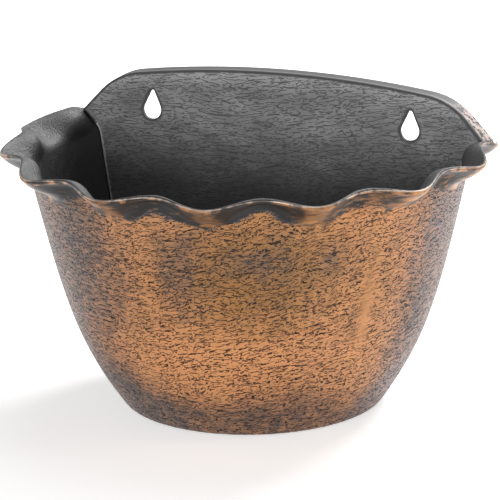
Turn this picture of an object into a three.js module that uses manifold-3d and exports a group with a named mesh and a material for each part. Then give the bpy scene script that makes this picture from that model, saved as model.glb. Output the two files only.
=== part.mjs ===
// Half-round wall planter. A round bowl with a waved, flared rim is cut off flat at the wall, and a
// leaning back panel with an arched top and two teardrop hanging holes closes it behind. Millimetres,
// +Z up. The origin is on the resting plane, in the middle of the planter's box. +Y points to the wall
// and -Y to the front.
import * as THREE from 'three';
import { mergeVertices } from 'three/addons/utils/BufferGeometryUtils.js';
import Module from 'manifold-3d';

// ---- Driving dimensions -----------------------------------------------------------------------------

// Bowl. A lean is in degrees from upright.
const overallWidth = 290;       // across the two widest lobes of the rim
const rimHeight = 154.5;        // middle of the rim's wave above the resting plane
const bowlWall = 2.6;
const floorThickness = 2.8;
const baseRadius = 75.6;        // where the side wall would meet the resting plane
const baseLean = 35.5;
const baseHold = 48;            // length over which the side wall keeps the lean that it has at the base
const baseEdge = 4;             // softened length on either side of the base's corner
const floorCorner = 9;          // softened length on either side of the corner between floor and side wall
const neckRadius = 127.4;       // outside, where the flare begins
const neckBelowRim = 15.5;
const neckLean = 13;
const neckHold = 81;            // length over which the side wall keeps the lean that it has at the neck

// Waved rim
const lobes = 14;               // in a full turn, with a dip in the middle of the front
const waveReach = 4.4;          // how far a lobe stands outwards, and a dip inwards
const waveDrop = 1.95;          // how far a lobe hangs below the middle of the rim, and a dip rises
const lobePinch = 0.15;         // narrows the lobes and widens the dips between them
const lastLobeReach = 0.9;      // how much further out the two lobes at the wall stand
const lastLobeDrop = 2.8;       // and how much lower they hang
const flareLean = 61.5;         // just below the lip
const flareSwing = 20;          // degrees by which the flare lies flatter in a dip and steeper on a lobe
const flareFoot = 5;            // length over which the flare keeps the side wall's lean at the neck
const flareHold = 12;           // length over which it keeps its own lean below the lip

// Back panel, measured back from the bowl's axis
const wallSetback = 59.3;
const panelSetback = 45.2;      // to the panel's front, at the middle of the rim
const panelLean = 7.3;
const panelThickness = 2.4;
const skirtThickness = 2.4;
const seatGap = 0.4;            // between the panel's skirt and the bowl that it sits in

// Arched outline of the panel
const archAboveRim = 30.3;
const archRadius = 680;
const shoulderRadius = 41;
const shoulderSlope = 47;       // degrees below level of the straight run from the shoulder to the rim
const footHalfWidth = 131.8;    // where that run ends, level with the low lobes at the wall
const footBelowRim = 4.6;

// Teardrop hanging holes, point up
const holeSpacing = 165;
const holeRadius = 5.8;
const holeTipRadius = 1.3;
const holeHeight = 17.6;
const holeBelowArch = 16.1;     // from the top of the arch down to the hole's point

// ---- Fineness --------------------------------------------------------------------------------------

const stepsPerLobe = 10;
const wallSteps = 8;
const flareSteps = 8;
const lipSteps = 4;
const cornerSteps = 3;
const archSteps = 6;

// ---- Derived sizes ---------------------------------------------------------------------------------

const lipRadius = bowlWall / 2;
const rimRadius = overallWidth / 2 - lipRadius - waveReach + lobePinch;
const neckHeight = rimHeight - neckBelowRim;
const archTop = rimHeight + archAboveRim;
const turns = lobes * stepsPerLobe;
const lobeTurn = 2 * Math.PI / lobes;
const lastDip = lobeTurn * Math.floor(Math.acos(-wallSetback / rimRadius) / lobeTurn);
const turnAngles = Array.from({ length: turns }, (_, i) => 2 * Math.PI * i / turns);
const frontReach = Math.max(...turnAngles.map((angle) => {
  const rim = rimAt(angle).middle.x + lipRadius;
  return rim * Math.cos(angle);
}));
const axisY = (frontReach - wallSetback) / 2;
const wallY = axisY + wallSetback;
const panelY = axisY + panelSetback;
const past = overallWidth;      // how far a cutting solid runs past what it cuts

// ---- Solids ----------------------------------------------------------------------------------------

const wasm = await Module();
wasm.setup();

function toSolid(geometry) {
  const bare = geometry.clone();
  bare.deleteAttribute('normal');
  bare.deleteAttribute('uv');
  const merged = mergeVertices(bare);
  return new wasm.Manifold(new wasm.Mesh({
    numProp: 3,
    vertProperties: new Float32Array(merged.attributes.position.array),
    triVerts: new Uint32Array(merged.index.array),
  }));
}

function toMesh(name, solid, material) {
  const { vertProperties, triVerts } = solid.getMesh();
  const geometry = new THREE.BufferGeometry();
  geometry.setAttribute('position', new THREE.BufferAttribute(vertProperties, 3));
  geometry.setIndex(new THREE.BufferAttribute(triVerts, 1));
  geometry.computeVertexNormals();
  const mesh = new THREE.Mesh(geometry, material);
  mesh.name = name;
  return mesh;
}

// ---- Profiles of the bowl, as radius and height ----------------------------------------------------

function upright(lean) {
  const angle = THREE.MathUtils.degToRad(lean);
  return new THREE.Vector2(Math.sin(angle), Math.cos(angle));
}

function outwards(along) {
  return new THREE.Vector2(along.y, -along.x);
}

function moved(point, direction, length) {
  return point.clone().addScaledVector(direction, length);
}

const neck = new THREE.Vector2(neckRadius, neckHeight);
const base = new THREE.Vector2(baseRadius, 0);
const sideWall = new THREE.CubicBezierCurve(
  base,
  moved(base, upright(baseLean), baseHold),
  moved(neck, upright(neckLean), -neckHold),
  neck,
);
const baseSpeed = 3 * baseHold; // length of side wall per unit of its curve's parameter, at the base

// The lip's middle line and the lean that it ends with, at an angle from the middle of the front.
// Past the last dip before the wall the lobe stands out further and hangs lower.
function rimAt(angle) {
  const wave = Math.cos(lobes * angle);
  const pinch = lobePinch * Math.cos(2 * lobes * angle);
  const last = Math.cos(angle) < Math.cos(lastDip) ? (1 - wave) / 2 : 0;
  const reach = waveReach * wave + pinch - lastLobeReach * last;
  const rise = waveDrop * wave - pinch - lastLobeDrop * last;
  return {
    middle: new THREE.Vector2(rimRadius - reach, rimHeight + rise),
    along: upright(flareLean + flareSwing * wave),
  };
}

function flareAt(angle) {
  const { middle, along } = rimAt(angle);
  const end = moved(middle, outwards(along), lipRadius);
  return new THREE.CubicBezierCurve(
    neck,
    moved(neck, upright(neckLean), flareFoot),
    moved(end, along, -flareHold),
    end,
  );
}

// A point on a curve's inner side, at a depth below the outer skin.
function inside(curve, u, depth) {
  return moved(curve.getPoint(u), outwards(curve.getTangent(u)), -depth);
}

// From a start on the side wall up to the lip, at a depth below the outer skin.
function skinUp(angle, start, depth) {
  const flare = flareAt(angle);
  const points = [];
  for (let i = 0; i <= wallSteps; i++) {
    points.push(inside(sideWall, THREE.MathUtils.lerp(start, 1, i / wallSteps), depth));
  }
  for (let i = 1; i <= flareSteps; i++) points.push(inside(flare, i / flareSteps, depth));
  return points;
}

// The bowl's inner skin from its axis over the floor and up to the lip, at a depth below the outer skin.
function innerSkin(angle, depth) {
  const floor = floorThickness + depth - bowlWall;
  let low = 0;
  let high = 1;
  while (high - low > 1e-6) {
    const middle = (low + high) / 2;
    if (inside(sideWall, middle, depth).y < floor) low = middle;
    else high = middle;
  }
  const corner = inside(sideWall, low, depth);
  const start = low + floorCorner / baseSpeed;
  const onFloor = new THREE.Vector2(corner.x - floorCorner, floor);
  const bend = new THREE.QuadraticBezierCurve(onFloor, corner, inside(sideWall, start, depth));
  return [
    new THREE.Vector2(0, floor),
    ...bend.getPoints(cornerSteps).slice(0, -1),
    ...skinUp(angle, start, depth),
  ];
}

function outerSkin(angle) {
  const start = baseEdge / baseSpeed;
  const onBase = new THREE.Vector2(baseRadius - baseEdge, 0);
  const bend = new THREE.QuadraticBezierCurve(onBase, base, sideWall.getPoint(start));
  return [
    new THREE.Vector2(0, 0),
    ...bend.getPoints(cornerSteps).slice(0, -1),
    ...skinUp(angle, start, 0),
  ];
}

function lip(angle) {
  const { middle, along } = rimAt(angle);
  const points = [];
  for (let i = 1; i < lipSteps; i++) {
    const turn = Math.PI * i / lipSteps;
    const edge = moved(middle, outwards(along), lipRadius * Math.cos(turn));
    points.push(moved(edge, along, lipRadius * Math.sin(turn)));
  }
  return points;
}

const bowlProfile = (angle) => [
  ...outerSkin(angle),
  ...lip(angle),
  ...innerSkin(angle, bowlWall).reverse(),
];

// The space inside the bowl, at a depth below its outer skin and open upwards past the panel.
const spaceProfile = (depth) => (angle) => {
  const skin = innerSkin(angle, depth);
  return [...skin, new THREE.Vector2(skin.at(-1).x, past), new THREE.Vector2(0, past)];
};

// The same space, but as wide as the rim above the lip, so that what fills it stands on the lip.
const seatProfile = (gap) => (angle) => {
  const { middle } = rimAt(angle);
  const above = middle.y + lipRadius + gap;
  const edge = middle.x + lipRadius;
  return [
    ...innerSkin(angle, bowlWall + gap),
    new THREE.Vector2(middle.x, above),
    new THREE.Vector2(edge, above),
    new THREE.Vector2(edge, past),
    new THREE.Vector2(0, past),
  ];
};

// Turns a profile about the bowl's axis. It starts and ends on the axis, and may change with the angle.
function turned(profileAt) {
  const positions = [];
  const index = [];
  for (const angle of turnAngles) {
    for (const { x, y } of profileAt(angle)) {
      positions.push(x * Math.sin(angle), axisY - x * Math.cos(angle), y);
    }
  }
  const count = positions.length / 3 / turns;
  for (let i = 0; i < turns; i++) {
    const here = i * count;
    const next = (i + 1) % turns * count;
    for (let k = 0; k + 1 < count; k++) {
      if (k > 0) index.push(here + k, next + k, next + k + 1);
      if (k + 2 < count) index.push(here + k, next + k + 1, here + k + 1);
    }
  }
  const geometry = new THREE.BufferGeometry();
  geometry.setAttribute('position', new THREE.Float32BufferAttribute(positions, 3));
  geometry.setIndex(index);
  return geometry;
}

// ---- Bowl ------------------------------------------------------------------------------------------

const behindWall = toSolid(new THREE.BoxGeometry(2 * past, 2 * past, 2 * past)
  .translate(0, wallY + past, 0));
const bowl = toSolid(turned(bowlProfile)).subtract(behindWall);

// ---- Back panel ------------------------------------------------------------------------------------

// Everything in front of the leaning panel, from a depth behind its front face.
function beforePanel(depth) {
  return toSolid(new THREE.BoxGeometry(2 * past, 2 * past, 2 * past)
    .translate(0, depth - past, 0)
    .rotateX(-THREE.MathUtils.degToRad(panelLean))
    .translate(0, panelY, rimHeight));
}

// The panel's arched outline, drawn in by an inset: a shallow arch, two rounded shoulders, a straight
// slope down to each foot and upright sides below, which the bowl trims.
function archOutline(inset) {
  const slope = THREE.MathUtils.degToRad(shoulderSlope);
  const archCentre = new THREE.Vector2(0, archTop - archRadius);
  const uphill = new THREE.Vector2(-Math.cos(slope), Math.sin(slope));
  const inwards = new THREE.Vector2(-Math.sin(slope), -Math.cos(slope));
  const foot = new THREE.Vector2(footHalfWidth, rimHeight - footBelowRim);
  const reach = moved(foot, inwards, shoulderRadius).sub(archCentre);
  const climb = reach.dot(uphill);
  const apart = archRadius - shoulderRadius;
  const run = Math.sqrt(climb * climb - reach.lengthSq() + apart * apart) - climb;
  const centre = moved(archCentre.clone().add(reach), uphill, run);
  const archEnd = centre.clone().sub(archCentre).angle();
  const slopeEnd = Math.PI / 2 - slope;
  const side = footHalfWidth - inset;
  const sideTop = foot.y - inset * (1 / Math.cos(slope) - Math.tan(slope));
  const shape = new THREE.Shape();
  shape.moveTo(side, -past);
  shape.lineTo(side, sideTop);
  shape.absarc(centre.x, centre.y, shoulderRadius - inset, slopeEnd, archEnd, false);
  shape.absarc(0, archCentre.y, archRadius - inset, archEnd, Math.PI - archEnd, false);
  shape.absarc(-centre.x, centre.y, shoulderRadius - inset, Math.PI - archEnd, Math.PI - slopeEnd, false);
  shape.lineTo(-side, sideTop);
  shape.lineTo(-side, -past);
  return shape;
}

// Stands an outline upright and runs it forwards, right through the panel, from where it ends.
function throughPanel(shape, end) {
  const through = { depth: past, bevelEnabled: false, curveSegments: archSteps };
  return toSolid(new THREE.ExtrudeGeometry(shape, through)
    .rotateX(Math.PI / 2)
    .translate(0, end, 0));
}

// A hanging hole: a round bottom that runs up in two straight sides to a small round point.
function teardrop(x) {
  const low = new THREE.Vector2(x, archTop - holeBelowArch - holeHeight + holeRadius);
  const high = new THREE.Vector2(x, archTop - holeBelowArch - holeTipRadius);
  const tilt = Math.asin((holeRadius - holeTipRadius) / (high.y - low.y));
  const shape = new THREE.Shape();
  shape.absarc(high.x, high.y, holeTipRadius, tilt, Math.PI - tilt, false);
  shape.absarc(low.x, low.y, holeRadius, Math.PI - tilt, 2 * Math.PI + tilt, false);
  return throughPanel(shape, wallY + past / 2);
}

const panelBody = throughPanel(archOutline(0), wallY)
  .intersect(toSolid(turned(seatProfile(seatGap))))
  .subtract(beforePanel(0));
const panelHollow = throughPanel(archOutline(skirtThickness), wallY + skirtThickness)
  .intersect(toSolid(turned(spaceProfile(bowlWall + seatGap + skirtThickness))))
  .subtract(beforePanel(panelThickness));
const backPanel = panelBody
  .subtract(panelHollow)
  .subtract(teardrop(-holeSpacing / 2))
  .subtract(teardrop(holeSpacing / 2));

// ---- Model -----------------------------------------------------------------------------------------

const brushedCopper = new THREE.MeshStandardMaterial({ color: 0x8a5a35, roughness: 0.5, metalness: 0.3 });
const darkPlastic = new THREE.MeshStandardMaterial({ color: 0x38383a, roughness: 0.6, metalness: 0 });

const group = new THREE.Group();
group.add(toMesh('bowl', bowl, brushedCopper));
group.add(toMesh('back_panel', backPanel, darkPlastic));

export default group;
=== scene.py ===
"""Half-round wall planter: a bark-relief bowl brushed with copper, and its dark back panel."""

import math

import bmesh
import bpy
import numpy as np
from mathutils import Matrix, Vector
from mathutils.bvhtree import BVHTree
from mathutils.geometry import delaunay_2d_cdt


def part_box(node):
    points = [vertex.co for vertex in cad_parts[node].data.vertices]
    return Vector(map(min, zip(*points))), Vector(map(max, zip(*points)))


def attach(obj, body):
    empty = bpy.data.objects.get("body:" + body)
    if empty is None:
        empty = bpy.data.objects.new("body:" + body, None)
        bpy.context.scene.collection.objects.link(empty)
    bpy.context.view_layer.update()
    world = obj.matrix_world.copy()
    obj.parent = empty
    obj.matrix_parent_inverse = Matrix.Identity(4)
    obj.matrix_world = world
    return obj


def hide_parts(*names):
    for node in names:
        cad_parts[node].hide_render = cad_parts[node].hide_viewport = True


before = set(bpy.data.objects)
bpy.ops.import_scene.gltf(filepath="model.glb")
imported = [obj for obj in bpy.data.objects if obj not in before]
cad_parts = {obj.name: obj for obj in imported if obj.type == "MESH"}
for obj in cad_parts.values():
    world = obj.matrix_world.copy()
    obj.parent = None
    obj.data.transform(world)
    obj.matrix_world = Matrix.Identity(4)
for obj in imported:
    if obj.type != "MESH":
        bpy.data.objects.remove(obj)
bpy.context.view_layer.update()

# ---- Sizes, in metres -----------------------------------------------------------------------------

MM = 0.001

RIM_HEIGHT = 154.5 * MM
BOWL_WALL = 2.6 * MM
FLOOR_THICKNESS = 2.8 * MM
WALL_SETBACK = 59.3 * MM
WALL_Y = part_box("bowl")[1].y
AXIS_Y = WALL_Y - WALL_SETBACK

BASE_RADIUS = 75.6 * MM
BASE_LEAN = 35.5
BASE_HOLD = 48 * MM
BASE_EDGE = 4 * MM
FLOOR_CORNER = 9 * MM
NECK_RADIUS = 127.4 * MM
NECK_HEIGHT = RIM_HEIGHT - 15.5 * MM
NECK_LEAN = 13
NECK_HOLD = 81 * MM
FLARE_LENGTH = 20 * MM
BOWL_BARK_DEPTH = 0.12 * MM

RIM_WAVE = {
    "Lobes": 14,
    "Reach": 4.4 * MM,
    "Drop": 1.95 * MM,
    "Pinch": 0.15 * MM,
    "Last Dip": math.radians(4 * 360 / 14),
    "Last Reach": 0.9 * MM,
    "Last Drop": 2.8 * MM,
    "Lean": math.radians(61.5),
    "Swing": math.radians(20),
    "Foot": 5 * MM,
    "Hold": 12 * MM,
    "Half Wall": BOWL_WALL / 2,
    "Rim Radius": 139.45 * MM,
    "Rim Height": RIM_HEIGHT,
    "Neck Radius": NECK_RADIUS,
    "Neck Height": NECK_HEIGHT,
    "Neck Lean": math.radians(NECK_LEAN),
    "Axis": AXIS_Y,
}

PANEL_SETBACK = 45.2 * MM
PANEL_LEAN = math.radians(7.3)
PANEL_THICKNESS = 2.4 * MM
SKIRT_THICKNESS = 2.4 * MM
SEAT_GAP = 0.5 * MM
PANEL_EDGE = 1.1 * MM
ARCH_TOP = RIM_HEIGHT + 30.3 * MM
ARCH_RADIUS = 680 * MM
SHOULDER_RADIUS = 41 * MM
SHOULDER_SLOPE = math.radians(47)
FOOT_HALF_WIDTH = 131.8 * MM
FOOT_HEIGHT = RIM_HEIGHT - 4.6 * MM
PANEL_FOOT = FLOOR_THICKNESS + 0.4 * MM
PANEL_BARK_DEPTH = 0.08 * MM
PANEL_BARK_SPACING = 1.7 * MM

HOLE_SPACING = 165 * MM
HOLE_RADIUS = 5.8 * MM
HOLE_TIP_RADIUS = 1.3 * MM
HOLE_HEIGHT = 17.6 * MM
HOLE_TIP_HEIGHT = ARCH_TOP - 16.1 * MM
HOLE_EDGE = 0.8 * MM
EDGE_STEPS = 5

# ---- Node trees ------------------------------------------------------------------------------------


def feed(tree, socket, value):
    """Links a socket to another node's output, or sets it to a plain value."""
    if isinstance(value, bpy.types.NodeSocket):
        tree.links.new(value, socket)
    else:
        socket.default_value = value


def add(tree, kind, inputs=None, **settings):
    """Adds a node of a kind with its settings, and feeds its inputs by name or number."""
    node = tree.nodes.new(kind)
    for name, value in settings.items():
        setattr(node, name, value)
    for name, value in (inputs or {}).items():
        feed(tree, node.inputs[name], value)
    return node


def maths(tree):
    """A function that adds a math node to this tree and gives its result."""

    def of(operation, *values):
        return add(tree, "ShaderNodeMath", dict(enumerate(values)), operation=operation).outputs[0]

    return of


def vector_math(tree, operation, *values):
    node = add(tree, "ShaderNodeVectorMath", dict(enumerate(values)), operation=operation)
    return node.outputs["Vector"]


def scaled(tree, vector, factor):
    node = add(tree, "ShaderNodeVectorMath", {0: vector, "Scale": factor}, operation="SCALE")
    return node.outputs["Vector"]


def joined(tree, x, y, z):
    return add(tree, "ShaderNodeCombineXYZ", {"X": x, "Y": y, "Z": z}).outputs[0]


def parted(tree, vector):
    """The three parts of a vector, by name."""
    return add(tree, "ShaderNodeSeparateXYZ", {0: vector}).outputs


def ramp(tree, value, low, high, to_low=0.0, to_high=1.0, smooth=True):
    """Maps a value from low..high to to_low..to_high, held at both ends."""
    kind = "SMOOTHSTEP" if smooth else "LINEAR"
    inputs = dict(enumerate((value, low, high, to_low, to_high)))
    return add(tree, "ShaderNodeMapRange", inputs, interpolation_type=kind).outputs[0]


def noise(tree, place, scale, detail=2.0, roughness=0.5, output="Fac"):
    """Noise at a place, with one scale or a scale for each direction."""
    if isinstance(scale, tuple):
        place = vector_math(tree, "MULTIPLY", place, scale)
        scale = 1.0
    inputs = {"Vector": place, "Scale": scale, "Detail": detail, "Roughness": roughness}
    return add(tree, "ShaderNodeTexNoise", inputs).outputs[output]


def new_tree(name, kind, inputs, outputs):
    """A node tree with named inputs and outputs, and the sockets of its two end nodes."""
    tree = bpy.data.node_groups.new(name, kind)
    for label, socket_type, value in inputs:
        socket = tree.interface.new_socket(name=label, in_out="INPUT", socket_type=socket_type)
        if value is not None:
            socket.default_value = value
    for label, socket_type in outputs:
        tree.interface.new_socket(name=label, in_out="OUTPUT", socket_type=socket_type)
    return tree, tree.nodes.new("NodeGroupInput").outputs, tree.nodes.new("NodeGroupOutput").inputs


# ---- Bark grooves, in the relief and in the finish alike, in millimetres ----------------------------

GROOVE_HALF_WIDTH = 0.29
RELIEF_HALF_WIDTH = 0.45
PANEL_HALF_WIDTH = 0.22
BROKEN = 0.45
PANEL_BROKEN = 0.43

# The scale of the noise that bends the rows of grooves, and how far it shifts them each way.
WIDE_BEND = (0.05, (10, 10, 6))
SMALL_BEND = (0.5, (1.6, 1.6, 0.9))

ROWS_PER_MM = 0.56
ROWS_WANDER = 3.8
WANDER_SCALE = (0.2, 0.2, 0.5)
BREAK_SCALE = (0.5, 0.5, 0.8)
CLIMB = 0.2
CLIMB_START = -20.0
SLOPE_STEP = 0.15
LEAST_CHANGE = 0.02


def bark_grooves(kind):
    """A node group that gives short, broken, nearly level grooves at a place in metres."""
    tree, given, out = new_tree(
        "Bark grooves",
        kind,
        [
            ("Place", "NodeSocketVector", None),
            ("Half Width", "NodeSocketFloat", GROOVE_HALF_WIDTH),
            ("Broken", "NodeSocketFloat", BROKEN),
        ],
        [("Groove", "NodeSocketFloat")],
    )
    of = maths(tree)
    place = scaled(tree, given["Place"], 1 / MM)

    def shift(scale, reach):
        colour = noise(tree, place, scale, 1.0, output="Color")
        return vector_math(tree, "MULTIPLY", vector_math(tree, "SUBTRACT", colour, (0.5,) * 3), reach)

    bent = vector_math(tree, "ADD", place, shift(*WIDE_BEND))
    bent = vector_math(tree, "ADD", bent, shift(*SMALL_BEND))
    climb = of("MULTIPLY", of("MAXIMUM", parted(tree, bent)["X"], CLIMB_START), -CLIMB)
    bent = vector_math(tree, "ADD", bent, joined(tree, 0.0, 0.0, climb))

    def rows_up_to(raised):
        """How many rows lie below a place. A groove runs wherever this is a whole number."""
        spot = vector_math(tree, "ADD", bent, (0, 0, raised))
        rows = of("MULTIPLY", parted(tree, spot)["Z"], ROWS_PER_MM)
        return of("MULTIPLY_ADD", noise(tree, spot, WANDER_SCALE, 1.0), ROWS_WANDER, rows)

    here = rows_up_to(0)
    change = of("ABSOLUTE", of("SUBTRACT", rows_up_to(SLOPE_STEP), here))
    slope = of("DIVIDE", of("MAXIMUM", change, LEAST_CHANGE), SLOPE_STEP)
    apart = of("DIVIDE", of("PINGPONG", here, 0.5), slope)
    groove = ramp(tree, of("DIVIDE", apart, given["Half Width"]), 0.8, 1.2, 1.0, 0.0)
    kept = of("SUBTRACT", noise(tree, bent, BREAK_SCALE), given["Broken"])
    feed(tree, out["Groove"], of("MULTIPLY", groove, ramp(tree, kept, -0.02, 0.03)))
    return tree


def grooves_at(tree, place, group, half_width=GROOVE_HALF_WIDTH, broken=BROKEN):
    kind = "GeometryNodeGroup" if tree.type == "GEOMETRY" else "ShaderNodeGroup"
    inputs = {"Place": place, "Half Width": half_width, "Broken": broken}
    return add(tree, kind, inputs, node_tree=group).outputs["Groove"]


# ---- Bowl ------------------------------------------------------------------------------------------


def upright(lean):
    """Direction in a profile, as radius and height, that leans outwards by degrees."""
    return np.array([math.sin(math.radians(lean)), math.cos(math.radians(lean))])


def bezier(points, u):
    a, b, c, d = (np.asarray(p, float) for p in points)
    u = np.asarray(u, float)[:, None]
    v = 1 - u
    place = a * v**3 + 3 * b * v * v * u + 3 * c * v * u * u + d * u**3
    along = (b - a) * v * v + 2 * (c - b) * v * u + (d - c) * u * u
    along /= np.linalg.norm(along, axis=1)[:, None]
    return place, along


def softened(start, corner, end, steps):
    """The points of a corner that is rounded off between two points."""
    u = (np.arange(steps) / steps)[:, None]
    return (1 - u) ** 2 * start + 2 * u * (1 - u) * corner + u**2 * end


BASE = np.array([BASE_RADIUS, 0.0])
NECK = np.array([NECK_RADIUS, NECK_HEIGHT])
SIDE_WALL = (
    BASE,
    BASE + upright(BASE_LEAN) * BASE_HOLD,
    NECK - upright(NECK_LEAN) * NECK_HOLD,
    NECK,
)


def side_wall(start, steps, depth):
    """Points up the side wall to the neck, at a depth below its outer skin."""
    place, along = bezier(SIDE_WALL, np.linspace(start, 1, steps + 1))
    outwards = np.stack([along[:, 1], -along[:, 0]], axis=1)
    return place - outwards * depth


def outer_rows(wall_steps):
    start = BASE_EDGE / (3 * BASE_HOLD)
    wall = side_wall(start, wall_steps, 0)
    on_base = np.array([BASE_RADIUS - BASE_EDGE, 0.0])
    flat = [[BASE_RADIUS * share, 0.0] for share in (0.2, 0.4, 0.6, 0.8)]
    return np.vstack([flat, softened(on_base, BASE, wall[0], 6), wall])


def inner_rows(wall_steps):
    shares = np.linspace(0, 0.3, 3001)
    place, along = bezier(SIDE_WALL, shares)
    height = place[:, 1] + along[:, 0] * BOWL_WALL
    low = shares[np.argmin(np.abs(height - FLOOR_THICKNESS))]
    corner = side_wall(low, 1, BOWL_WALL)[0]
    wall = side_wall(low + FLOOR_CORNER / (3 * BASE_HOLD), wall_steps, BOWL_WALL)
    on_floor = np.array([corner[0] - FLOOR_CORNER, FLOOR_THICKNESS])
    flat = [[corner[0] * share, FLOOR_THICKNESS] for share in (0.2, 0.4, 0.6, 0.8)]
    return np.vstack([flat, softened(on_floor, corner, wall[0], 8), wall])


# Angles are in degrees from the front, seen from above and positive to the right. Heights are in
# millimetres. A patch is an angle and a height, half its width and height, and how much it adds.
PAINT = 0.64
LEAST_PAINT = 0.27
PAINT_PATCHES = (
    (3, 114, 5, 20, -0.26),
    (24, 118, 5, 6, -0.22),
    (44, 116, 3, 6, -0.2),
    (58, 19, 9, 9, 0.14),
    (8, 52, 18, 11, 0.18),
    (-25, 54, 12, 14, 0.18),
    (38, 30, 9, 8, -0.14),
    (57.5, 80, 1.7, 21, 0.24),
    (31, 112, 5, 12, -0.08),
    (79, 71, 5, 16, -0.1),
)
# Painted light and shade on the copper's colour: dull under the rim, bright along the middle.
COPPER_LIGHT_LEVEL = 0.72
COPPER_LIGHT_AND_SHADE_PATCHES = (
    (24, 112, 17, 24, -0.75),
    (10, 50, 26, 11, 0.4),
    (57.5, 80, 5, 24, -0.15),
)
# Pale dust on the plastic, with a painted sheen towards both sides.
DUST_AND_SHEEN_LEVEL = 0.22
DUST_AND_SHEEN_PATCHES = ((79, 70, 6, 15, -0.3),)
RUBBED_SMOOTH = ((57.5, 78, 1.4, 18, 1),)

BORDER_BELOW_LIP = 15.5
BORDER_ARCH = 4.5
BORDER_BLUR = 6


def eased(x):
    x = np.clip(x, 0, 1)
    return x * x * (3 - 2 * x)


def fade(value, start, end):
    """From 0 at the start to 1 at the end, softly at both."""
    return eased((value - start) / (end - start))


def patched(value, angle, height, patches):
    """A value with soft round patches added to it."""
    for middle, level, wide, high, more in patches:
        away = ((angle - middle) / wide) ** 2 + ((height - level) / high) ** 2
        value = value + more * np.exp(-away / 2)
    return value


def paint_at(angle, height):
    """How much copper the brush left: most in front, less at the sides and along the bottom."""
    paint = PAINT - 0.36 * fade(angle, 0, -32) - 0.34 * fade(angle, 60, 86)
    paint -= 0.29 * fade(height, 36, 14)
    return np.maximum(patched(paint, angle, height, PAINT_PATCHES), LEAST_PAINT)


def copper_light_and_shade_at(angle, height):
    """How bright the copper is, by painted light and shade: dullest under the rim and brightest along
    the middle.
    """
    return patched(COPPER_LIGHT_LEVEL, angle, height, COPPER_LIGHT_AND_SHADE_PATCHES)


def dust_and_sheen_at(angle, height):
    """How pale the plastic is: an even dust, with a painted sheen added towards both sides."""
    dust_and_sheen = DUST_AND_SHEEN_LEVEL + 0.25 * fade(angle, -30, -50) + 0.37 * fade(angle, 60, 84)
    return patched(dust_and_sheen, angle, height, DUST_AND_SHEEN_PATCHES)


def collar_at(angle):
    """How much copper streaks the smooth collar: hardly any in front, more to the right."""
    return 0.2 * fade(angle, 25, 45)


def bark_at(angle, below):
    """From 0 to 1 over the edge of the bark, which arches up between the lobes and wobbles a little."""
    turn = np.radians(angle)
    border = BORDER_BELOW_LIP - BORDER_ARCH * np.cos(RIM_WAVE["Lobes"] * turn)
    border += 1.6 * np.sin(9 * turn + 1.3) + 1.2 * np.sin(37 * turn)
    return np.clip((below - border) / BORDER_BLUR + 0.5, 0, 1)


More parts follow.
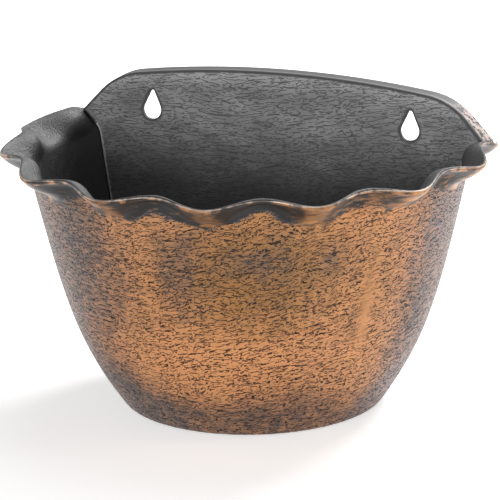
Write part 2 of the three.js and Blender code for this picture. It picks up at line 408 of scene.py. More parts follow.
def bowl_blank(columns=460, wall_steps=150, flare_steps=30, lip_steps=10, inner_steps=44):
    """The bowl turned about its axis with a plain rim. Each point says where it is on the flare."""
    outer = outer_rows(wall_steps)
    inner = inner_rows(inner_steps)[::-1]
    rise_out = np.arange(1, flare_steps + 1) / flare_steps
    lip = np.arange(1, lip_steps) * math.pi / lip_steps
    rise_in = rise_out[::-2]
    rim_rows = len(rise_out) + len(lip) + len(rise_in)
    rise = np.concatenate([
        np.zeros(len(outer)), rise_out, np.ones(len(lip)), rise_in, np.zeros(len(inner))
    ])
    lip_turn = np.concatenate([
        np.zeros(len(outer) + len(rise_out)), lip, np.full(len(rise_in) + len(inner), math.pi)
    ])
    on_flare = np.concatenate([
        np.zeros(len(outer), bool), np.ones(rim_rows, bool), np.zeros(len(inner), bool)
    ])
    outside = np.concatenate([
        np.ones(len(outer) + len(rise_out)), np.cos(lip / 2), np.zeros(len(rise_in) + len(inner))
    ])
    profile = np.vstack([outer, np.tile(NECK, (rim_rows, 1)), inner])
    steps = np.linalg.norm(np.diff(outer, axis=0), axis=1)
    climbed = np.concatenate([[0], np.cumsum(steps)])
    flare = FLARE_LENGTH * (1 - rise_out)
    below_lip = np.concatenate([
        FLARE_LENGTH + climbed[-1] - climbed, flare, np.zeros(len(lip) + len(rise_in) + len(inner))
    ])

    rows = len(profile)
    turn = 2 * math.pi * np.arange(columns) / columns
    radius = profile[None, :, 0]
    points = np.stack([
        radius * np.sin(turn)[:, None],
        AXIS_Y - radius * np.cos(turn)[:, None],
        np.broadcast_to(profile[None, :, 1], (columns, rows)),
    ], axis=2).reshape(-1, 3)
    points = np.vstack([points, [[0, AXIS_Y, 0], [0, AXIS_Y, FLOOR_THICKNESS]]])
    under, above = columns * rows, columns * rows + 1

    here = np.arange(columns)[:, None] * rows + np.arange(rows - 1)[None, :]
    there = (np.arange(columns)[:, None] + 1) % columns * rows + np.arange(rows - 1)[None, :]
    faces = np.stack([here, there, there + 1, here + 1], axis=2).reshape(-1, 4).tolist()
    first, follow = here[:, 0].tolist(), there[:, 0].tolist()
    faces += [[under, b, a] for a, b in zip(first, follow)]
    faces += [[above, a + rows - 1, b + rows - 1] for a, b in zip(first, follow)]

    mesh = bpy.data.meshes.new("bowl_blank")
    mesh.from_pydata(points.tolist(), [], faces)
    angle = (np.degrees(np.repeat(turn, rows)) + 180) % 360 - 180
    height = np.tile(profile[:, 1], columns) / MM
    for name, values in (
        ("turn", np.repeat(turn, rows)),
        ("rise", np.tile(rise, columns)),
        ("lip_turn", np.tile(lip_turn, columns)),
        ("on_flare", np.tile(on_flare, columns).astype(float)),
        ("outside", np.tile(outside, columns)),
        ("paint", paint_at(angle, height)),
        ("copper_light_and_shade", copper_light_and_shade_at(angle, height)),
        ("dust_and_sheen", dust_and_sheen_at(angle, height)),
        ("collar", collar_at(angle)),
        ("rubbed", patched(0, angle, height, RUBBED_SMOOTH)),
        ("bark", bark_at(angle, np.tile(below_lip, columns) / MM) * np.tile(outside, columns)),
        ("below_lip", np.tile(below_lip, columns)),
    ):
        ends = [1.0, 0.0] if name in ("outside", "bark") else [0.0, 0.0]
        layer = mesh.attributes.new(name, "FLOAT", "POINT")
        layer.data.foreach_set("value", np.concatenate([values, ends]).astype(np.float32))
    return mesh


def named(tree, name):
    """A number that each point of a mesh carries."""
    node = add(tree, "GeometryNodeInputNamedAttribute", {"Name": name}, data_type="FLOAT")
    return node.outputs["Attribute"]


def stored(tree, geometry, name, value):
    values = {"Geometry": geometry, "Name": name, "Value": value}
    node = add(tree, "GeometryNodeStoreNamedAttribute", values, data_type="FLOAT", domain="POINT")
    return node.outputs[0]


def finished(tree, geometry, material):
    real = add(tree, "GeometryNodeRealizeInstances", {"Geometry": geometry}).outputs[0]
    return add(tree, "GeometryNodeSetMaterial", {"Geometry": real, "Material": material}).outputs[0]


def waved_rim_tree():
    """Gives the plain rim of a turned blank its flare and its waves."""
    sizes = [(name, "NodeSocketFloat", 0.0) for name in RIM_WAVE]
    tree, given, out = new_tree(
        "Waved flared rim",
        "GeometryNodeTree",
        [("Geometry", "NodeSocketGeometry", None), *sizes, ("Material", "NodeSocketMaterial", None)],
        [("Geometry", "NodeSocketGeometry")],
    )
    of = maths(tree)
    turn = named(tree, "turn")
    rise = named(tree, "rise")
    lip_turn = named(tree, "lip_turn")

    def direction(lean):
        return joined(tree, of("SINE", lean), 0.0, of("COSINE", lean))

    def outwards(along):
        parts = parted(tree, along)
        return joined(tree, parts["Z"], 0.0, of("MULTIPLY", parts["X"], -1.0))

    def moved(place, way, length):
        return vector_math(tree, "ADD", place, scaled(tree, way, length))

    around = of("MULTIPLY", turn, given["Lobes"])
    wave = of("COSINE", around)
    double = of("COSINE", of("MULTIPLY", around, 2.0))
    pinch = of("MULTIPLY", double, given["Pinch"])
    lobe = of("MULTIPLY", of("SUBTRACT", 1.0, wave), 0.5)
    behind = of("LESS_THAN", of("COSINE", turn), of("COSINE", given["Last Dip"]))
    last = of("MULTIPLY", lobe, behind)
    reach = of("ADD", of("MULTIPLY", wave, given["Reach"]), pinch)
    reach = of("SUBTRACT", reach, of("MULTIPLY", last, given["Last Reach"]))
    drop = of("SUBTRACT", of("MULTIPLY", wave, given["Drop"]), pinch)
    drop = of("SUBTRACT", drop, of("MULTIPLY", last, given["Last Drop"]))
    lean = of("ADD", given["Lean"], of("MULTIPLY", wave, given["Swing"]))
    middle = joined(
        tree,
        of("SUBTRACT", given["Rim Radius"], reach),
        0.0,
        of("ADD", given["Rim Height"], drop),
    )

    neck = joined(tree, given["Neck Radius"], 0.0, given["Neck Height"])
    foot = moved(neck, direction(given["Neck Lean"]), given["Foot"])
    along_lip = direction(lean)
    edge = moved(middle, outwards(along_lip), given["Half Wall"])
    held = moved(edge, along_lip, of("MULTIPLY", given["Hold"], -1.0))

    rest = of("SUBTRACT", 1.0, rise)
    weights = (
        of("POWER", rest, 3.0),
        of("MULTIPLY", of("MULTIPLY", of("POWER", rest, 2.0), rise), 3.0),
        of("MULTIPLY", of("MULTIPLY", of("POWER", rise, 2.0), rest), 3.0),
        of("POWER", rise, 3.0),
    )
    place = scaled(tree, neck, weights[0])
    for point, weight in zip((foot, held, edge), weights[1:]):
        place = moved(place, point, weight)
    slopes = (
        (vector_math(tree, "SUBTRACT", foot, neck), of("POWER", rest, 2.0)),
        (vector_math(tree, "SUBTRACT", held, foot), of("MULTIPLY", of("MULTIPLY", rest, rise), 2.0)),
        (vector_math(tree, "SUBTRACT", edge, held), of("POWER", rise, 2.0)),
    )
    along = scaled(tree, *slopes[0])
    for step, weight in slopes[1:]:
        along = moved(along, step, weight)
    along = vector_math(tree, "NORMALIZE", along)

    inwards = of("MULTIPLY", of("SUBTRACT", of("COSINE", lip_turn), 1.0), given["Half Wall"])
    onwards = of("MULTIPLY", of("SINE", lip_turn), given["Half Wall"])
    place = moved(moved(place, outwards(along), inwards), along, onwards)
    parts = parted(tree, place)
    turned = joined(
        tree,
        of("MULTIPLY", parts["X"], of("SINE", turn)),
        of("SUBTRACT", given["Axis"], of("MULTIPLY", parts["X"], of("COSINE", turn))),
        parts["Z"],
    )
    flared = of("GREATER_THAN", named(tree, "on_flare"), 0.5)
    inputs = {"Geometry": given["Geometry"], "Selection": flared, "Position": turned}
    waved = add(tree, "GeometryNodeSetPosition", inputs).outputs[0]
    waved = stored(tree, waved, "wave", wave)
    feed(tree, out["Geometry"], finished(tree, waved, given["Material"]))
    return tree


def bark_relief_tree():
    """Sinks the bark's grooves into the skin wherever a mesh's bark attribute lets it."""
    tree, given, out = new_tree(
        "Bark relief",
        "GeometryNodeTree",
        [
            ("Geometry", "NodeSocketGeometry", None),
            ("Depth", "NodeSocketFloat", BOWL_BARK_DEPTH),
            ("Material", "NodeSocketMaterial", None),
        ],
        [("Geometry", "NodeSocketGeometry")],
    )
    of = maths(tree)
    position = add(tree, "GeometryNodeInputPosition").outputs[0]
    groove = grooves_at(tree, position, bark_grooves("GeometryNodeTree"), RELIEF_HALF_WIDTH)
    marked = of("MULTIPLY", named(tree, "bark"), of("SUBTRACT", 1.0, named(tree, "rubbed")))
    sunk = of("MULTIPLY", of("MULTIPLY", groove, marked), -1.0)
    normal = add(tree, "GeometryNodeInputNormal").outputs[0]
    offset = scaled(tree, normal, of("MULTIPLY", sunk, given["Depth"]))
    inputs = {"Geometry": given["Geometry"], "Offset": offset}
    geometry = add(tree, "GeometryNodeSetPosition", inputs).outputs[0]
    feed(tree, out["Geometry"], finished(tree, geometry, given["Material"]))
    return tree


def use_tree(piece, tree, values):
    """Puts a geometry tree on a piece, with the tree's named inputs set."""
    modifier = piece.modifiers.new(tree.name, "NODES")
    modifier.node_group = tree
    for item in tree.interface.items_tree:
        if item.in_out == "INPUT" and item.name in values:
            modifier[item.identifier] = values[item.name]


def made_plain(piece, name):
    """Replaces a piece and its modifiers by a plain mesh piece."""
    evaluated = piece.evaluated_get(bpy.context.evaluated_depsgraph_get())
    mesh = bpy.data.meshes.new_from_object(evaluated)
    blank = piece.data
    bpy.data.objects.remove(piece)
    bpy.data.meshes.remove(blank)
    mesh.name = name
    return new_piece(name, mesh)


def new_piece(name, mesh):
    piece = bpy.data.objects.new(name, mesh)
    bpy.context.scene.collection.objects.link(piece)
    return piece


def cut_flat_at_wall(mesh):
    """Cuts a mesh off at the wall plane and closes the cut."""
    body = bmesh.new()
    body.from_mesh(mesh)
    everything = body.verts[:] + body.edges[:] + body.faces[:]
    bmesh.ops.bisect_plane(
        body, geom=everything, plane_co=(0, WALL_Y, 0), plane_no=(0, 1, 0), clear_outer=True
    )
    open_edges = [edge for edge in body.edges if edge.is_boundary]
    bmesh.ops.triangle_fill(body, use_beauty=True, edges=open_edges, normal=(0, 1, 0))
    body.to_mesh(mesh)
    body.free()


def read_layer(mesh, name):
    values = np.empty(len(mesh.vertices), np.float32)
    mesh.attributes[name].data.foreach_get("value", values)
    return values


def shaded(mesh, angle=35):
    mesh.shade_smooth()
    mesh.set_sharp_from_angle(angle=math.radians(angle))


def make_bowl(material, inside):
    """The bowl, with its own material on the faces of its inside."""
    blank = new_piece("bowl_blank", bowl_blank())
    use_tree(blank, waved_rim_tree(), {**RIM_WAVE, "Material": material})
    use_tree(blank, relief, {"Depth": BOWL_BARK_DEPTH, "Material": material})
    bowl = made_plain(blank, "copper_bowl")
    cut_flat_at_wall(bowl.data)
    shaded(bowl.data)
    bowl.data.materials.append(inside)
    outside = read_layer(bowl.data, "outside")
    for face in bowl.data.polygons:
        if np.mean(outside[list(face.vertices)]) < 0.5:
            face.material_index = 1
    return bowl


# ---- Back panel ------------------------------------------------------------------------------------


def panel_front(z):
    """How far back the panel's front face stands at a height."""
    return AXIS_Y + PANEL_SETBACK + (z - RIM_HEIGHT) * math.tan(PANEL_LEAN)


def arc(centre, radius, start, end, steps):
    turn = np.linspace(start, end, steps + 1)
    return np.asarray(centre) + radius * np.stack([np.cos(turn), np.sin(turn)], axis=1)


def arch_half(slope_steps=14, shoulder_steps=24, arch_steps=60):
    """Right half of the arched top, as x and z from the foot of the slope to the middle."""
    slope = SHOULDER_SLOPE
    arch_centre = np.array([0, ARCH_TOP - ARCH_RADIUS])
    uphill = np.array([-math.cos(slope), math.sin(slope)])
    inwards = np.array([-math.sin(slope), -math.cos(slope)])
    foot = np.array([FOOT_HALF_WIDTH, FOOT_HEIGHT])
    reach = foot + inwards * SHOULDER_RADIUS - arch_centre
    climb = reach @ uphill
    apart = ARCH_RADIUS - SHOULDER_RADIUS
    run = math.sqrt(climb**2 - reach @ reach + apart**2) - climb
    centre = arch_centre + reach + uphill * run
    turn = math.atan2(*(centre - arch_centre)[::-1])
    shoulder = arc(centre, SHOULDER_RADIUS, math.pi / 2 - slope, turn, shoulder_steps)
    arch = arc(arch_centre, ARCH_RADIUS, turn, math.pi / 2, arch_steps)
    share = np.arange(0, slope_steps)[:, None] / slope_steps
    straight = foot + (shoulder[0] - foot) * share
    return np.vstack([straight, shoulder, arch[1:]])


class Seat:
    """The room that the bowl leaves for the panel."""

    LEAST_SLANT = 0.35

    def __init__(self, bowl):
        body = bmesh.new()
        body.from_mesh(bowl.data)
        self.skin = BVHTree.FromBMesh(body)
        body.free()

    def half_width(self, y, z, widest):
        """Half the room's width at a place, up to a widest value."""
        start = Vector((0, min(y, WALL_Y - 0.01 * MM), z))
        spot, normal, *_ = self.skin.ray_cast(start, Vector((1, 0, 0)), widest + 20 * MM)
        if spot is None:
            return widest
        return min(widest, spot.x - SEAT_GAP / max(self.LEAST_SLANT, abs(normal.x)))


def panel_loop(seat, depth, to_wall, inset, side_points=90, bottom_points=22):
    """A closed loop round the panel: a depth behind its front, then a share of the way to the wall."""
    low = [(FOOT_HALF_WIDTH, z) for z in np.linspace(PANEL_FOOT, FOOT_HEIGHT, side_points)[:-1]]
    half = [*low, *map(tuple, arch_half())]
    loop = []
    for x, z in half:
        front = panel_front(z) + depth
        y = front + (WALL_Y - front) * to_wall
        loop.append((seat.half_width(y, z, x), y, z))
    loop = np.array(loop)
    mirrored = loop[:-1][::-1] * [-1, 1, 1]
    ring = np.vstack([loop, mirrored])
    bottom = np.linspace(ring[-1], ring[0], bottom_points)[1:-1]
    ring = np.vstack([ring, bottom])
    before, after = np.roll(ring, 1, axis=0), np.roll(ring, -1, axis=0)
    ahead, behind = (after - ring)[:, [0, 2]], (ring - before)[:, [0, 2]]
    ahead /= np.linalg.norm(ahead, axis=1)[:, None]
    behind /= np.linalg.norm(behind, axis=1)[:, None]
    side_a = np.stack([-ahead[:, 1], ahead[:, 0]], axis=1)
    side_b = np.stack([-behind[:, 1], behind[:, 0]], axis=1)
    inward = side_a + side_b
    inward /= (1 + np.sum(side_a * side_b, axis=1))[:, None]
    ring[:, [0, 2]] += inward * inset
    return ring


def teardrop(middle, grown, tip_steps=12, round_steps=40, side_steps=8):
    """Closed outline of a hanging hole, as x and z, grown outwards all round."""
    low = np.array([middle, HOLE_TIP_HEIGHT - HOLE_HEIGHT + HOLE_RADIUS])
    high = np.array([middle, HOLE_TIP_HEIGHT - HOLE_TIP_RADIUS])
    tilt = math.asin((HOLE_RADIUS - HOLE_TIP_RADIUS) / (high - low)[1])
    tip = arc(high, HOLE_TIP_RADIUS + grown, tilt, math.pi - tilt, tip_steps)
    round_end = arc(low, HOLE_RADIUS + grown, math.pi - tilt, 2 * math.pi + tilt, round_steps)
    share = np.arange(1, side_steps)[:, None] / side_steps
    left = tip[-1] + (round_end[0] - tip[-1]) * share
    right = round_end[-1] + (tip[0] - round_end[-1]) * share
    return np.vstack([tip, left, round_end, right])


def filled(loops, spacing):
    """Triangles between an outer loop and the holes in it, over a field of even points."""
    points = []
    edges = []
    for loop in loops:
        start = len(points)
        count = len(loop)
        points += [Vector(p) for p in loop]
        edges += [(start + i, start + (i + 1) % count) for i in range(count)]
    low, high = loops[0].min(0), loops[0].max(0)
    if spacing:
        shake = np.random.default_rng(7)
        lines = np.arange(low[1] + spacing, high[1], spacing * 0.87)
        for number, z in enumerate(lines):
            line = np.arange(low[0] + (number % 2) * spacing / 2, high[0], spacing)
            for x in line:
                spot = np.array([x, z]) + shake.uniform(-0.12, 0.12, 2) * spacing
                if all(clear_of(spot, loop, spacing * 0.5) for loop in loops):
                    points.append(Vector(spot))
    verts, _, faces, *_ = delaunay_2d_cdt(points, edges, [], 0, 1e-7)
    kept = []
    for face in faces:
        centre = np.mean([verts[i] for i in face], axis=0)
        if within(centre, loops[0]) and not any(within(centre, hole) for hole in loops[1:]):
            kept.append(list(face))
    return np.array([tuple(v) for v in verts]), kept


def clear_of(spot, loop, distance):
    return np.min(np.sum((loop - spot) ** 2, axis=1)) > distance**2


def within(spot, loop):
    x, z = loop[:, 0], loop[:, 1]
    next_x, next_z = np.roll(x, -1), np.roll(z, -1)
    crosses = (z > spot[1]) != (next_z > spot[1])
    with np.errstate(divide="ignore", invalid="ignore"):
        at = x + (spot[1] - z) * (next_x - x) / (next_z - z)
    return np.count_nonzero(crosses & (spot[0] < at)) % 2 == 1


def make_panel(seat, material):
    body = bmesh.new()
    bark_layer = body.verts.layers.float.new("bark")
    seam_light_and_shade_layer = body.verts.layers.float.new("seam_light_and_shade")

    def ring_of(points, seam_light_and_shade=0.0):
        """A ring of points. Its seam paints a highlight along the bowl and shade along the arch."""
        made = [body.verts.new(p) for p in points]
        for vert in made:
            vert[seam_light_and_shade_layer] = seam_light_and_shade if vert.co.z < FOOT_HEIGHT - 3 * MM else -seam_light_and_shade
        return made

    def bridge(first, second):
        count = len(first)
        for i in range(count):
            j = (i + 1) % count
            body.faces.new((first[i], first[j], second[j], second[i]))

    def hole_ring(middle, grown, depth):
        outline = teardrop(middle, grown)
        return [(x, panel_front(z) + depth, z) for x, z in outline]

    def fill(rings, spacing, depth, bark, facing):
        """Closes a face between rings. It faces to the front at -1 and to the wall at 1."""
        loops = [np.array([(v.co.x, v.co.z) for v in ring]) for ring in rings]
        spots, faces = filled(loops, spacing)
        known = [vert for ring in rings for vert in ring]
        verts = []
        for number, (x, z) in enumerate(spots):
            if number < len(known):
                verts.append(known[number])
                continue
            vert = body.verts.new((x, panel_front(z) + depth, z))
            vert[bark_layer] = bark
            verts.append(vert)
        for face in faces:
            corners = [verts[i] for i in face]
            made = body.faces.new(corners)
            made.normal_update()
            if made.normal.y * facing < 0:
                made.normal_flip()

    quarter = np.linspace(0, math.pi / 2, EDGE_STEPS + 1)
    rounding = [(1 - math.sin(turn), 1 - math.cos(turn)) for turn in quarter]
    rings = [
        ring_of(panel_loop(seat, PANEL_EDGE * back, 0, PANEL_EDGE * inwards), 1.0)
        for inwards, back in rounding
    ]
    rings += [ring_of(panel_loop(seat, PANEL_EDGE, share, 0)) for share in (0.25, 0.5, 0.75, 0.98, 1)]
    rings += [
        ring_of(panel_loop(seat, PANEL_THICKNESS, share, SKIRT_THICKNESS)) for share in (1, 0.5, 0)
    ]
    for first, second in zip(rings, rings[1:]):
        bridge(first, second)

    fronts, backs = [], []
    for middle in (-HOLE_SPACING / 2, HOLE_SPACING / 2):
        hole = [
            ring_of(hole_ring(middle, HOLE_EDGE * wider, HOLE_EDGE * back)) for wider, back in rounding
        ]
        hole.append(ring_of(hole_ring(middle, 0, PANEL_THICKNESS)))
        for first, second in zip(hole, hole[1:]):
            bridge(first, second)
        fronts.append(hole[0])
        backs.append(hole[-1])
    fill([rings[0], *fronts], PANEL_BARK_SPACING, 0, 1.0, -1)
    fill([rings[-1], *backs], 0, PANEL_THICKNESS, 0.0, 1)

    bmesh.ops.recalc_face_normals(body, faces=body.faces[:])
    mesh = bpy.data.meshes.new("panel_blank")
    body.to_mesh(mesh)
    body.free()
    blank = new_piece("panel_blank", mesh)
    use_tree(blank, relief, {"Depth": PANEL_BARK_DEPTH, "Material": material})
    panel = made_plain(blank, "arched_back_panel")
    shaded(panel.data)
    return panel


# ---- Finishes --------------------------------------------------------------------------------------

# The copper in painted shade and in painted light, mixed by the copper's painted light and shade and by
# random patches.
SHADED_DULL_COPPER = (0.3, 0.138, 0.038, 1)
LIT_BRIGHT_COPPER = (0.64, 0.29, 0.118, 1)
DARK_PLASTIC = (0.035, 0.032, 0.034, 1)
# Plastic made pale by dust and by painted sheen.
DUSTY_SHEENED_PLASTIC = (0.24, 0.195, 0.205, 1)
COLLAR_PLASTIC = (0.012, 0.012, 0.0125, 1)
# The colour of the painted highlight on the lip's crest.
LIP_CREST_HIGHLIGHT = (0.6, 0.5, 0.43, 1)
UNTOUCHED = (1, 1, 1, 1)
GROOVE_SHADE = (0.05, 0.035, 0.03, 1)

INSIDE_DARK = (0.005, 0.005, 0.0052, 1)
INSIDE_PALE = (0.012, 0.012, 0.0125, 1)

PANEL_DARK = (0.1, 0.1, 0.102, 1)
PANEL_PALE = (0.34, 0.34, 0.342, 1)
# Painted shade in the panel's grooves.
PANEL_GROOVE_SHADE = (0.055, 0.055, 0.056, 1)
SKIRT_PLASTIC = (0.032, 0.032, 0.033, 1)
# A painted highlight along the seam at the bowl, and painted shade along the arch's edge.
SEAM_HIGHLIGHT = (0.5, 0.49, 0.48, 1)
SEAM_SHADE = (0.03, 0.03, 0.03, 1)
SKIRT_DABS = (0.75, 0.6, 0.54, 1)
PANEL_BARK_STRETCH = (0.65, 1, 1.05)


def new_material(name):
    material = bpy.data.materials.new(name)
    material.use_nodes = True
    tree = material.node_tree
    tree.nodes.clear()
    shader = add(tree, "ShaderNodeBsdfPrincipled")
    add(tree, "ShaderNodeOutputMaterial", {"Surface": shader.outputs[0]})
    return material, tree, shader.inputs


def mixed(tree, factor, low, high, blend="MIX"):
    """A colour between two others, or their product."""
    inputs = {0: factor, 6: low, 7: high}
    return add(tree, "ShaderNodeMix", inputs, data_type="RGBA", blend_type=blend).outputs[2]


def between(tree, factor, low, high):
    """A number between two others."""
    return add(tree, "ShaderNodeMix", {0: factor, 2: low, 3: high}).outputs[0]


def carried(tree, name):
    return add(tree, "ShaderNodeAttribute", attribute_name=name).outputs["Fac"]


def bumped(tree, strength, distance, height):
    inputs = {"Strength": strength, "Distance": distance, "Height": height}
    return add(tree, "ShaderNodeBump", inputs).outputs[0]


def copper_finish():
    material, tree, shader = new_material("copper_brushed_bark")
    of = maths(tree)

    def around(value, reach):
        """A noise value made to swing evenly to both sides of zero."""
        return of("MULTIPLY", of("SUBTRACT", value, 0.5), reach)

    place = add(tree, "ShaderNodeTexCoord").outputs["Object"]
    near = scaled(tree, place, 1 / MM)
    outside = carried(tree, "outside")
    fine = noise(tree, near, 0.9, 3.0, 0.6)
    patchy = noise(tree, near, 0.12, 3.0, 0.6)
    smears = noise(tree, near, (0.16, 0.16, 0.5), 3.0, 0.6)
    streaks = noise(tree, near, (0.14, 0.14, 0.45), 3.0)
    wiped = noise(tree, near, (0.11, 0.11, 0.02))

    # The bark ends in an arch below each dip. Above it the collar is smooth and hardly painted.
    edge = of("ADD", carried(tree, "bark"), around(smears, 0.9))
    bark = ramp(tree, edge, 0.35, 0.65)
    rough_skin = of("MULTIPLY", bark, of("SUBTRACT", 1.0, carried(tree, "rubbed")))
    groove = of("MULTIPLY", grooves_at(tree, place, grooves), rough_skin)

    collar = of("ADD", carried(tree, "collar"), around(streaks, 1.1))
    lobe = ramp(tree, carried(tree, "wave"), -0.5, -1.0)
    collar = of("ADD", collar, of("MULTIPLY", lobe, 0.38))
    below = of("MULTIPLY", carried(tree, "below_lip"), 1 / MM)
    lip = of("MULTIPLY", ramp(tree, below, 0.5, 1.6, 1.0, 0.0), ramp(tree, patchy, 0.46, 0.58))
    collar = of("MAXIMUM", collar, of("MULTIPLY", lip, 0.5))
    body = of("ADD", carried(tree, "paint"), around(wiped, 0.3))
    cover = between(tree, ramp(tree, edge, 0.4, 1.0), collar, body)
    cover = of("ADD", cover, of("ADD", around(fine, 0.25), around(smears, 0.6)))
    paint = of("MULTIPLY", ramp(tree, cover, 0.08, 0.78), ramp(tree, outside, 0.4, 0.9))

    # Painted light and shade: the copper is dullest under the rim and brightest along the middle.
    copper_light_and_shade = ramp(tree, of("ADD", carried(tree, "copper_light_and_shade"), around(patchy, 0.8)), 0, 1)
    copper = mixed(tree, copper_light_and_shade, SHADED_DULL_COPPER, LIT_BRIGHT_COPPER)
    # Dust on the plastic, with painted sheen towards both sides.
    dust_and_sheen = ramp(tree, of("ADD", carried(tree, "dust_and_sheen"), around(smears, 0.8)), 0, 1)
    plastic = mixed(tree, bark, COLLAR_PLASTIC, mixed(tree, dust_and_sheen, DARK_PLASTIC, DUSTY_SHEENED_PLASTIC))
    colour = mixed(tree, paint, plastic, copper)

    # A painted highlight lies pale along the crest of the lip, in places.
    crest = of("MULTIPLY", ramp(tree, outside, 0.58, 0.68), ramp(tree, outside, 0.76, 0.88, 1.0, 0.0))
    crest_highlight = of("MULTIPLY", crest, ramp(tree, patchy, 0.38, 0.6, 0.15, 0.75))
    colour = mixed(tree, crest_highlight, colour, LIP_CREST_HIGHLIGHT)
    shade = mixed(tree, groove, UNTOUCHED, GROOVE_SHADE)
    feed(tree, shader["Base Color"], mixed(tree, 1.0, colour, shade, "MULTIPLY"))

    feed(tree, shader["Metallic"], of("MULTIPLY", paint, 0.2))
    rough = ramp(tree, bark, 0.0, 1.0, 0.3, 0.42)
    feed(tree, shader["Roughness"], of("ADD", rough, of("MULTIPLY", groove, 0.35)))
    feed(tree, shader["Coat Weight"], of("MULTIPLY", bark, 0.12))
    shader["Specular IOR Level"].default_value = 0.3
    shader["Coat Roughness"].default_value = 0.35
    shader["Sheen Weight"].default_value = 0.08
    shader["Sheen Roughness"].default_value = 0.3
    height = of("ADD", of("SUBTRACT", 1.0, groove), of("MULTIPLY", fine, 0.25))
    feed(tree, shader["Normal"], bumped(tree, 0.7, 0.25 * MM, of("MULTIPLY", height, outside)))
    return material


def inside_finish():
    material, tree, shader = new_material("smooth_dark_plastic")
    place = add(tree, "ShaderNodeTexCoord").outputs["Object"]
    fine = noise(tree, place, 1100.0, 2.0, 0.6)
    marks = noise(tree, place, (160, 160, 300), 3.0)
    feed(tree, shader["Base Color"], mixed(tree, marks, INSIDE_DARK, INSIDE_PALE))
    feed(tree, shader["Roughness"], ramp(tree, marks, 0.35, 0.65, 0.42, 0.52))
    feed(tree, shader["Normal"], bumped(tree, 1.0, 0.5 * MM, fine))
    return material


def panel_finish():
    material, tree, shader = new_material("dark_bark_plastic")
    of = maths(tree)
    place = add(tree, "ShaderNodeTexCoord").outputs["Object"]
    near = scaled(tree, place, 1 / MM)
    parts = parted(tree, near)
    across, up = parts["X"], parts["Z"]
    bark = carried(tree, "bark")
    seam_light_and_shade = carried(tree, "seam_light_and_shade")
    stretched = vector_math(tree, "MULTIPLY", place, PANEL_BARK_STRETCH)
    groove = grooves_at(tree, stretched, grooves, PANEL_HALF_WIDTH, PANEL_BROKEN)
    groove = of("MULTIPLY", groove, bark)
    cloudy = noise(tree, near, (0.05, 0.05, 0.09), 3.0)

    # Painted shade makes the front darkest low in the pot, and painted light palest in a band under its
    # arched edge.
    under_arch = of("MULTIPLY_ADD", of("MULTIPLY", across, across), 0.5 * MM / ARCH_RADIUS, up)
    tone_light_and_shade = of("ADD", cloudy, ramp(tree, up, 100, 165, -0.3, 0.1))
    tone_light_and_shade = of("ADD", tone_light_and_shade, ramp(tree, under_arch, 171, 184, 0.0, 0.45))
    colour = mixed(tree, ramp(tree, tone_light_and_shade, 0.1, 1.3), PANEL_DARK, PANEL_PALE)
    # The panel's grooves are darkened with painted shade.
    colour = mixed(tree, groove, colour, PANEL_GROOVE_SHADE)
    front = ramp(tree, of("ADD", of("ABSOLUTE", seam_light_and_shade), bark), 0, 1)
    colour = mixed(tree, front, SKIRT_PLASTIC, colour)
    # Painted highlight along the bowl's seam, painted shade along the arch's edge.
    colour = mixed(tree, ramp(tree, seam_light_and_shade, 0.3, 1), colour, SEAM_HIGHLIGHT)
    colour = mixed(tree, ramp(tree, seam_light_and_shade, -0.3, -1), colour, SEAM_SHADE)

    # Dabs of paint lie on the right end of the skirt.
    dabs = of("MULTIPLY", ramp(tree, noise(tree, near, 0.35, 3.0, 0.6), 0.44, 0.54), 0.6)
    dabs = of("MULTIPLY", dabs, ramp(tree, across, 104, 116))
    dabs = of("MULTIPLY", dabs, of("SUBTRACT", 1.0, front))
    feed(tree, shader["Base Color"], mixed(tree, dabs, colour, SKIRT_DABS))

    rough = ramp(tree, cloudy, 0.3, 0.7, 0.5, 0.42)
    rough = of("ADD", rough, of("MULTIPLY", of("SUBTRACT", 1.0, bark), 0.12))
    feed(tree, shader["Roughness"], rough)
    feed(tree, shader["Normal"], bumped(tree, 0.7, 0.35 * MM, of("SUBTRACT", 1.0, groove)))
    return material


# ---- Pieces ----------------------------------------------------------------------------------------

grooves = bark_grooves("ShaderNodeTree")
relief = bark_relief_tree()
bowl = make_bowl(copper_finish(), inside_finish())
panel = make_panel(Seat(bowl), panel_finish())

for piece, node, slot in (
    (bowl, "bowl", "brushed_copper_plastic"),
    (panel, "back_panel", "dark_plastic"),
):
    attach(piece, "root")
    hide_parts(node)

# ---- Floor, light and camera -----------------------------------------------------------------------


FLOOR_COLOUR = (0.8, 0.8, 0.8, 1)
FLOOR_GLOW = 0.55
FLOOR_HALF = 12.0
WHITE = (1, 1, 1, 1)
WORLD_LIGHT = 0.26
WORLD_SEEN = 1.0

# Place, aim, diameter and watts of each lamp.
LAMPS = {
    "top_light": ((0, 0.5, 1.8), (0, 0, 0.1), 1.2, 8),
    "front_light": ((0.2, -2.2, 0.42), (0, 0, 0.1), 0.6, 29),
    "back_light": ((0.4, 1.4, 1.6), (0, 0, 0.1), 1.1, 50),
    "right_light": ((1.9, 0.9, 0.3), (0.1, 0.05, 0.1), 0.6, 13),
}

# The camera's angles in degrees. Its place is in photo pixels from the middle of the rim's plane.
CAMERA_TURN = 23.165245
CAMERA_DIP = 16.167112
CAMERA_ROLL = -1.144651
CAMERA_AWAY = 3699.819
CAMERA_ACROSS = -1.075162
CAMERA_BELOW = -111.001495
PHOTO_PIXEL = 0.5864 * MM
PHOTO_WIDTH = 500
SENSOR_WIDTH = 36


def seen_directly(tree):
    """1 for what the camera sees, also by reflection and through glass, and 0 for light."""
    of = maths(tree)
    rays = add(tree, "ShaderNodeLightPath").outputs
    seen = of("MAXIMUM", rays["Is Camera Ray"], rays["Is Glossy Ray"])
    return of("MAXIMUM", seen, rays["Is Transmission Ray"])


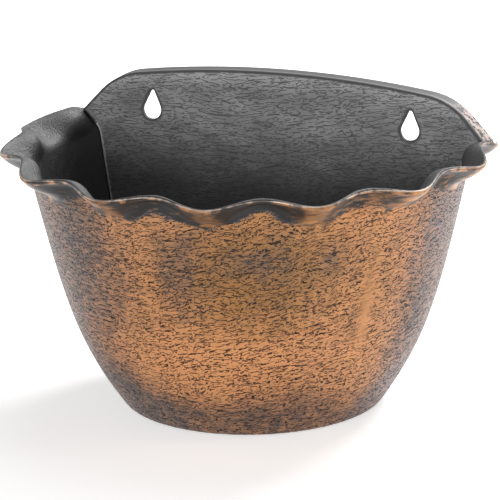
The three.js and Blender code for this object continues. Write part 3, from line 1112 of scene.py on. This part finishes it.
def make_floor():
    material, tree, shader = new_material("pale_floor")
    glow = maths(tree)("MULTIPLY", seen_directly(tree), FLOOR_GLOW)
    feed(tree, shader["Base Color"], FLOOR_COLOUR)
    feed(tree, shader["Roughness"], 0.9)
    feed(tree, shader["Specular IOR Level"], 0.0)
    feed(tree, shader["Emission Color"], WHITE)
    feed(tree, shader["Emission Strength"], glow)
    mesh = bpy.data.meshes.new("floor")
    corners = [(x * FLOOR_HALF, y * FLOOR_HALF, 0) for x, y in ((-1, -1), (1, -1), (1, 1), (-1, 1))]
    mesh.from_pydata(corners, [], [(0, 1, 2, 3)])
    mesh.materials.append(material)
    new_piece("floor", mesh)


def make_world():
    world = bpy.data.worlds.new("studio")
    world.use_nodes = True
    bpy.context.scene.world = world
    tree = world.node_tree
    tree.nodes.clear()
    strength = ramp(tree, seen_directly(tree), 0, 1, WORLD_LIGHT, WORLD_SEEN, smooth=False)
    glow = add(tree, "ShaderNodeBackground", {"Color": WHITE, "Strength": strength})
    add(tree, "ShaderNodeOutputWorld", {"Surface": glow.outputs[0]})


def soft_box(name, place, target, size, watts):
    light = bpy.data.lights.new(name, "AREA")
    light.shape = "DISK"
    light.size = size
    light.energy = watts
    lamp = bpy.data.objects.new(name, light)
    lamp.location = place
    way = Vector(target) - Vector(place)
    lamp.rotation_euler = way.to_track_quat("-Z", "Y").to_euler()
    bpy.context.scene.collection.objects.link(lamp)


def make_camera():
    turn, dip, roll = (math.radians(a) for a in (CAMERA_TURN, CAMERA_DIP, CAMERA_ROLL))
    right = Vector((math.cos(turn), math.sin(turn), 0))
    ahead = Vector((-math.sin(turn) * math.cos(dip), math.cos(turn) * math.cos(dip), -math.sin(dip)))
    up = right.cross(ahead)
    aimed = Vector((0, 0, CAMERA_BELOW)) + right * CAMERA_ACROSS
    place = (aimed - ahead * CAMERA_AWAY) * PHOTO_PIXEL + Vector((0, AXIS_Y, RIM_HEIGHT))
    level = right * math.cos(roll) + up * math.sin(roll)
    top = up * math.cos(roll) - right * math.sin(roll)
    camera = bpy.data.objects.new("camera", bpy.data.cameras.new("camera"))
    camera.matrix_world = Matrix((
        (level.x, top.x, -ahead.x, place.x),
        (level.y, top.y, -ahead.y, place.y),
        (level.z, top.z, -ahead.z, place.z),
        (0, 0, 0, 1),
    ))
    camera.data.sensor_width = SENSOR_WIDTH
    camera.data.lens = SENSOR_WIDTH * CAMERA_AWAY / PHOTO_WIDTH
    camera.data.clip_start = 0.05
    camera.data.clip_end = 60
    bpy.context.scene.collection.objects.link(camera)
    bpy.context.scene.camera = camera


make_floor()
make_world()
for lamp_name, values in LAMPS.items():
    soft_box(lamp_name, *values)
make_camera()
bpy.context.scene.view_settings.view_transform = "Standard"
